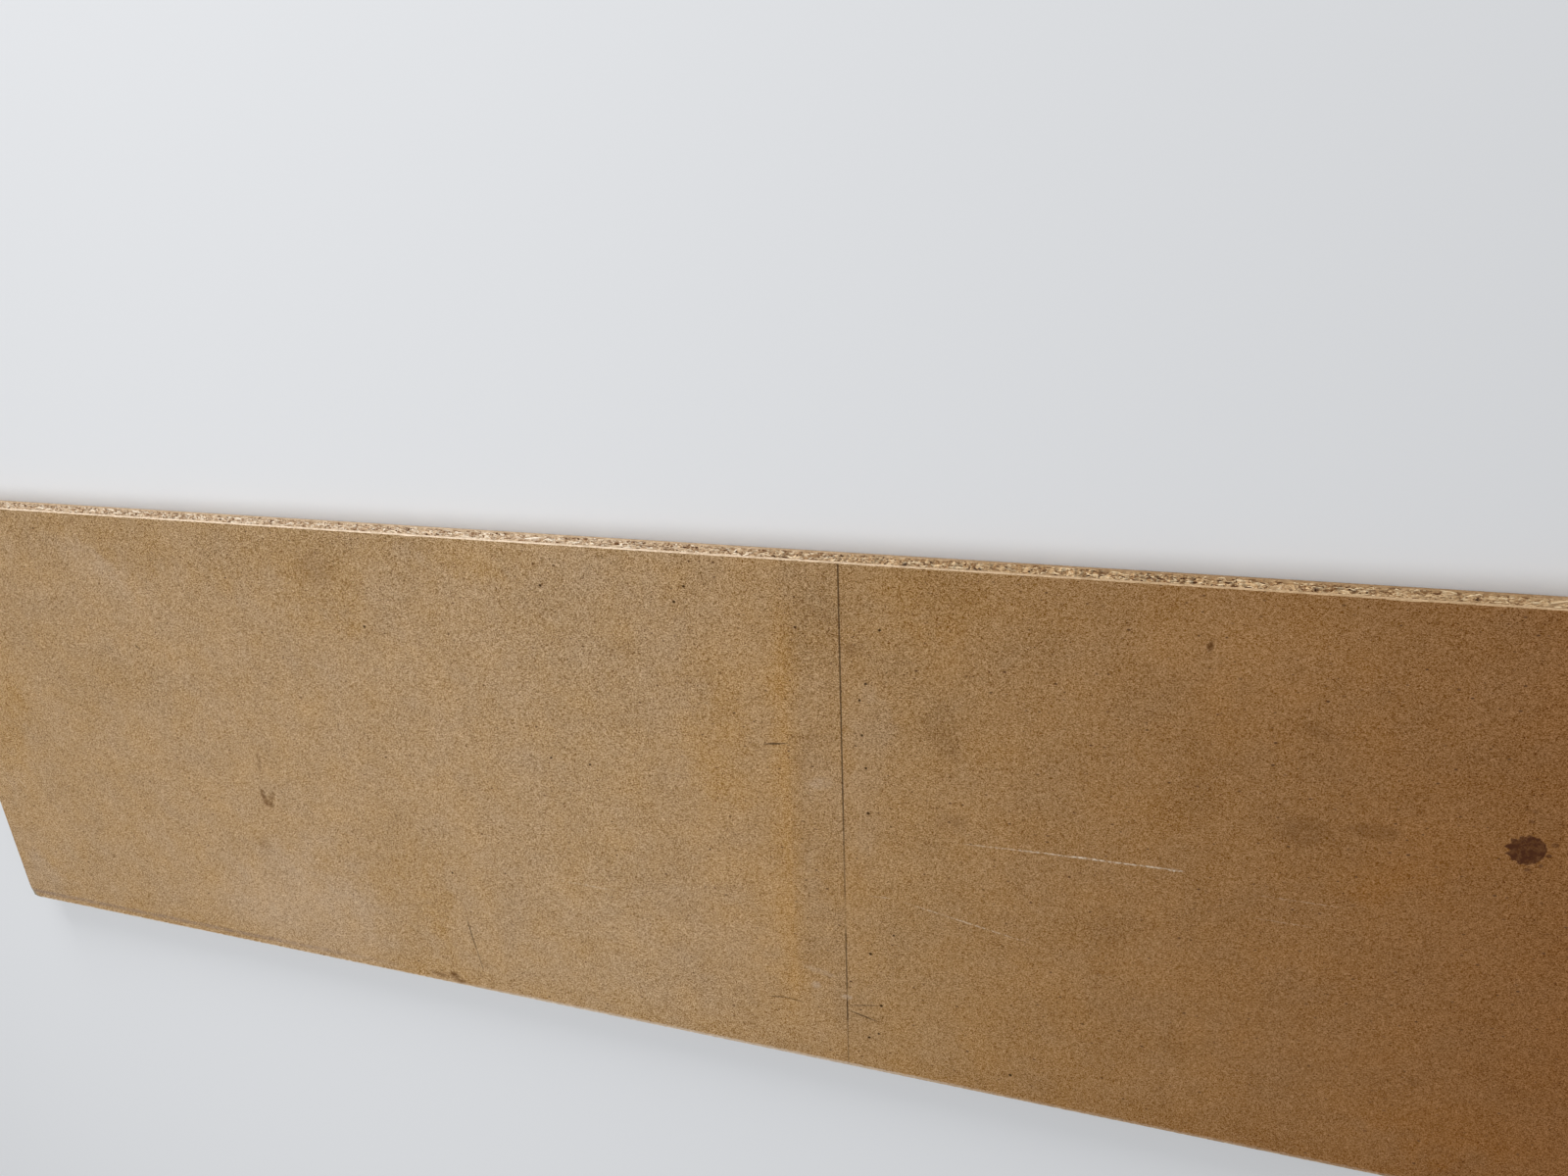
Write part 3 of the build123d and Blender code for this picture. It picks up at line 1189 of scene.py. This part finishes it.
def flake_tree():
    """Scatters slim six-sided flakes over a sawn side, more where its cover attribute is high."""
    tree = GeometryTree("sawn_flakes", {
        "geometry": "NodeSocketGeometry",
        **dict.fromkeys(FlakeSizes.__annotations__, "NodeSocketFloat"),
        "seed": "NodeSocketInt",
        "material": "NodeSocketMaterial"})
    points = tree.add("GeometryNodeDistributePointsOnFaces", {"distribute_method": "RANDOM"}, {
        "Mesh": tree["geometry"], "Density": tree["density"] * tree.kept("cover"),
        "Seed": tree["seed"]})
    length, width, back, large, chip = flake_sizes(tree)
    points = tree.move(points, Offset=tree.join(0.0, 0.0, tree["root"] * -0.5 + back))
    points = tree.keep(points, "front", back)
    points = tree.keep(points, "tone", flake_tone(tree, large, chip))

    flake = tree.add("GeometryNodeMeshCylinder", {"fill_type": "NGON"}, {
        "Vertices": 6, "Side Segments": 1, "Radius": 0.5, "Depth": tree["root"]})
    flake = tree.add("GeometryNodeTransform", None, {"Geometry": flake, "Rotation": (0.0, 0.0, 0.3)})
    placed = tree.add("GeometryNodeInstanceOnPoints", None, {
        "Points": points, "Instance": flake, "Rotation": flake_turn(tree),
        "Scale": tree.join(length, width, 1.0)})
    real = tree.add("GeometryNodeRealizeInstances", None, {"Geometry": placed})

    # Their outlines are torn, not cut
    tear = Vector((0.35, 0.20, 0.0)) * MM
    torn = tree.move(real, Offset=tree.add("FunctionNodeRandomValue", {"data_type": "FLOAT_VECTOR"}, {
        0: -tear, 1: tear, "Seed": 9}))

    # What would stand out past a flake's front is sawn off flat
    along, across, out = tree.parts(tree.add("GeometryNodeInputPosition"))
    out = tree.math("MINIMUM", out, tree.kept("front"))
    tree.finish(tree.move(torn, Position=tree.join(along, across, out)), tree["material"])
    return tree


def cover_mesh(side, sizes):
    """The flat core of a side, laid on the ground, with how thickly flakes cover each point."""
    heights = [h for h in row_heights(sizes) if core_share(h, sizes.fine_layer * 0.92) > 0.5]
    distances = side_columns(side, sizes)[1:-1]
    places = []
    cover = []
    for distance in distances:
        for height in heights:
            places.append((distance, height, 0.0))
            pit = pit_share_at(side, distance, height, sizes)
            whole = beyond_chip(side.point(distance, height, 0.0)) < -CHIP_MARGIN
            cover.append(1.0 - min(pit * 3.0, 1.0) if whole else 0.0)
    rows = len(heights)
    faces = [
        (i * rows + r, i * rows + r + 1, (i + 1) * rows + r + 1, (i + 1) * rows + r)
        for i in range(len(distances) - 1) for r in range(rows - 1)]
    mesh = bpy.data.meshes.new("cover")
    mesh.from_pydata(places, [], faces)
    mesh.attributes.new("cover", "FLOAT", "POINT").data.foreach_set("value", cover)
    return mesh


def trim(mesh, side, layer):
    """Flattens what of the flakes reaches past the core or past the ends of their side."""
    overlap = 1.4 * MM
    places = np.empty(len(mesh.vertices) * 3, dtype=np.float32)
    mesh.vertices.foreach_get("co", places)
    places = places.reshape(-1, 3)
    places[:, 0] = np.clip(places[:, 0], CORNER_BREAK, side.length - CORNER_BREAK)
    places[:, 1] = np.clip(places[:, 1], layer - overlap, THICKNESS - layer + overlap)
    mesh.vertices.foreach_set("co", places.ravel())


def make_flakes(context, side, scatter, material):
    """The flakes of one side, scattered by the node tree and kept as one plain mesh."""
    scene = context.scene
    name = "flakes_" + side.name
    piece = bpy.data.objects.new(name, cover_mesh(side, scene.board_sheet))
    scene.collection.objects.link(piece)
    modifier = piece.modifiers.new("flakes", "NODES")
    modifier.node_group = scatter.tree
    values = {label: getattr(scene.board_flakes, label) for label in FlakeSizes.__annotations__}
    values["seed"] += int(side.shift)
    values["material"] = material
    for label, value in values.items():
        modifier[scatter.identifiers[label]] = value
    ready = piece.evaluated_get(context.evaluated_depsgraph_get())
    mesh = bpy.data.meshes.new_from_object(ready)
    piece.modifiers.clear()
    mesh.name = name
    trim(mesh, side, scene.board_sheet.fine_layer)
    turn = Matrix((side.along, Vector((0, 0, 1)), side.outward)).transposed().to_4x4()
    mesh.transform(Matrix.Translation(side.start) @ turn)
    piece.data = mesh
    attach(piece, "root")
    return piece


def make_floor(context, colour):
    """A plain pale floor that reaches far past the view, a hair under the sheet."""
    reach = 12.0
    gap = 0.3 * MM
    mesh = bpy.data.meshes.new("floor")
    corners = ((-reach, -reach), (reach, -reach), (reach, reach), (-reach, reach))
    mesh.from_pydata([(x, y, -gap) for x, y in corners], [], [(0, 1, 2, 3)])
    mesh.materials.append(Shader("floor").coat({
        "Base Color": colour, "Roughness": 0.9, "Specular IOR Level": 0.1}))
    floor = bpy.data.objects.new("floor", mesh)
    context.scene.collection.objects.link(floor)


# Where the lamps hang, the points that they face, and how wide they are
KEY_LAMP = ((-1.05, -0.6, 3.4), (-0.5, -0.1, 0.0), 3.0)
EDGE_LAMP = ((-0.8, 3.6, 1.0), (-0.4, 0.3, 0.0), 2.0)


def make_lamp(context, name, place, aim, size, power):
    """A large soft lamp that faces a point."""
    lamp = bpy.data.lights.new(name, "AREA")
    lamp.shape = "DISK"
    lamp.size = size
    lamp.energy = power
    holder = bpy.data.objects.new(name, lamp)
    holder.location = place
    holder.rotation_euler = (Vector(aim) - Vector(place)).to_track_quat("-Z", "Y").to_euler()
    context.scene.collection.objects.link(holder)


def make_sky(context, strength):
    """Even light from all round, which the camera sees as a pale backdrop."""
    world = bpy.data.worlds.new("sky")
    world.use_nodes = True
    world.node_tree.nodes.clear()
    context.scene.world = world
    sky = Nodes(world.node_tree)
    light = sky.add("ShaderNodeBackground", None, {"Strength": strength})
    backdrop = sky.add("ShaderNodeBackground", None, {"Color": paint(232, 234, 237)})
    seen = sky.add("ShaderNodeLightPath", output="Is Camera Ray")
    pick = sky.add("ShaderNodeMixShader", None, {0: seen, 1: light, 2: backdrop})
    sky.add("ShaderNodeOutputWorld", None, {"Surface": pick})


def make_camera(context, settings):
    """The camera looks down on the sheet at the angle at which the photograph shows it."""
    lens = bpy.data.cameras.new("camera")
    lens.sensor_width = 36.0
    lens.lens = settings.camera_lens
    camera = bpy.data.objects.new("camera", lens)
    camera.location = settings.camera_place
    camera.rotation_euler = Euler(settings.camera_turn)
    context.scene.collection.objects.link(camera)
    context.scene.camera = camera


class PARTICLE_BOARD_OT_sheet(bpy.types.Operator):
    """Build the sheet with its sanded faces, sawn edges and broken corner"""

    bl_idname = "particle_board.sheet"
    bl_label = "Sheet"

    def execute(self, context):
        make_sheet(context)
        return {"FINISHED"}


class PARTICLE_BOARD_OT_flakes(bpy.types.Operator):
    """Scatter the wood flakes that show in the four sawn edges"""

    bl_idname = "particle_board.flakes"
    bl_label = "Flakes"

    def execute(self, context):
        scatter = flake_tree()
        material = wood_flake(context.scene.board_colours)
        for side in SIDES:
            make_flakes(context, side, scatter, material)
        return {"FINISHED"}


class PARTICLE_BOARD_OT_stage(bpy.types.Operator):
    """Lay the floor, hang the lamps and set the camera"""

    bl_idname = "particle_board.stage"
    bl_label = "Stage"

    def execute(self, context):
        settings = context.scene.board_stage
        make_floor(context, settings.floor)
        make_sky(context, settings.sky)
        make_lamp(context, "key", *KEY_LAMP, settings.key)
        make_lamp(context, "edge_light", *EDGE_LAMP, settings.edge_light)
        make_camera(context, settings)
        context.scene.view_settings.view_transform = "Standard"
        return {"FINISHED"}


class PARTICLE_BOARD_PT_sidebar(bpy.types.Panel):
    """Lists the sizes, the colours and the steps that build the board"""

    bl_idname = "PARTICLE_BOARD_PT_sidebar"
    bl_label = "Particle Board"
    bl_space_type = "VIEW_3D"
    bl_region_type = "UI"
    bl_category = "Particle Board"

    def draw(self, context):
        for name, group in GROUPS.items():
            box = self.layout.box()
            box.label(text=group.__doc__)
            for prop in group.__annotations__:
                box.prop(getattr(context.scene, name), prop)
        for operator in (PARTICLE_BOARD_OT_sheet, PARTICLE_BOARD_OT_flakes, PARTICLE_BOARD_OT_stage):
            self.layout.operator(operator.bl_idname)


CLASSES = [
    *GROUPS.values(),
    PARTICLE_BOARD_OT_sheet,
    PARTICLE_BOARD_OT_flakes,
    PARTICLE_BOARD_OT_stage,
    PARTICLE_BOARD_PT_sidebar,
]


def register():
    for cls in CLASSES:
        bpy.utils.register_class(cls)
    for name, group in GROUPS.items():
        setattr(bpy.types.Scene, name, bpy.props.PointerProperty(type=group))


def unregister():
    for name in GROUPS:
        delattr(bpy.types.Scene, name)
    for cls in reversed(CLASSES):
        bpy.utils.unregister_class(cls)


def main():
    register()
    bpy.ops.particle_board.stage()
    bpy.ops.particle_board.sheet()
    bpy.ops.particle_board.flakes()


if __name__ == "__main__":
    main()
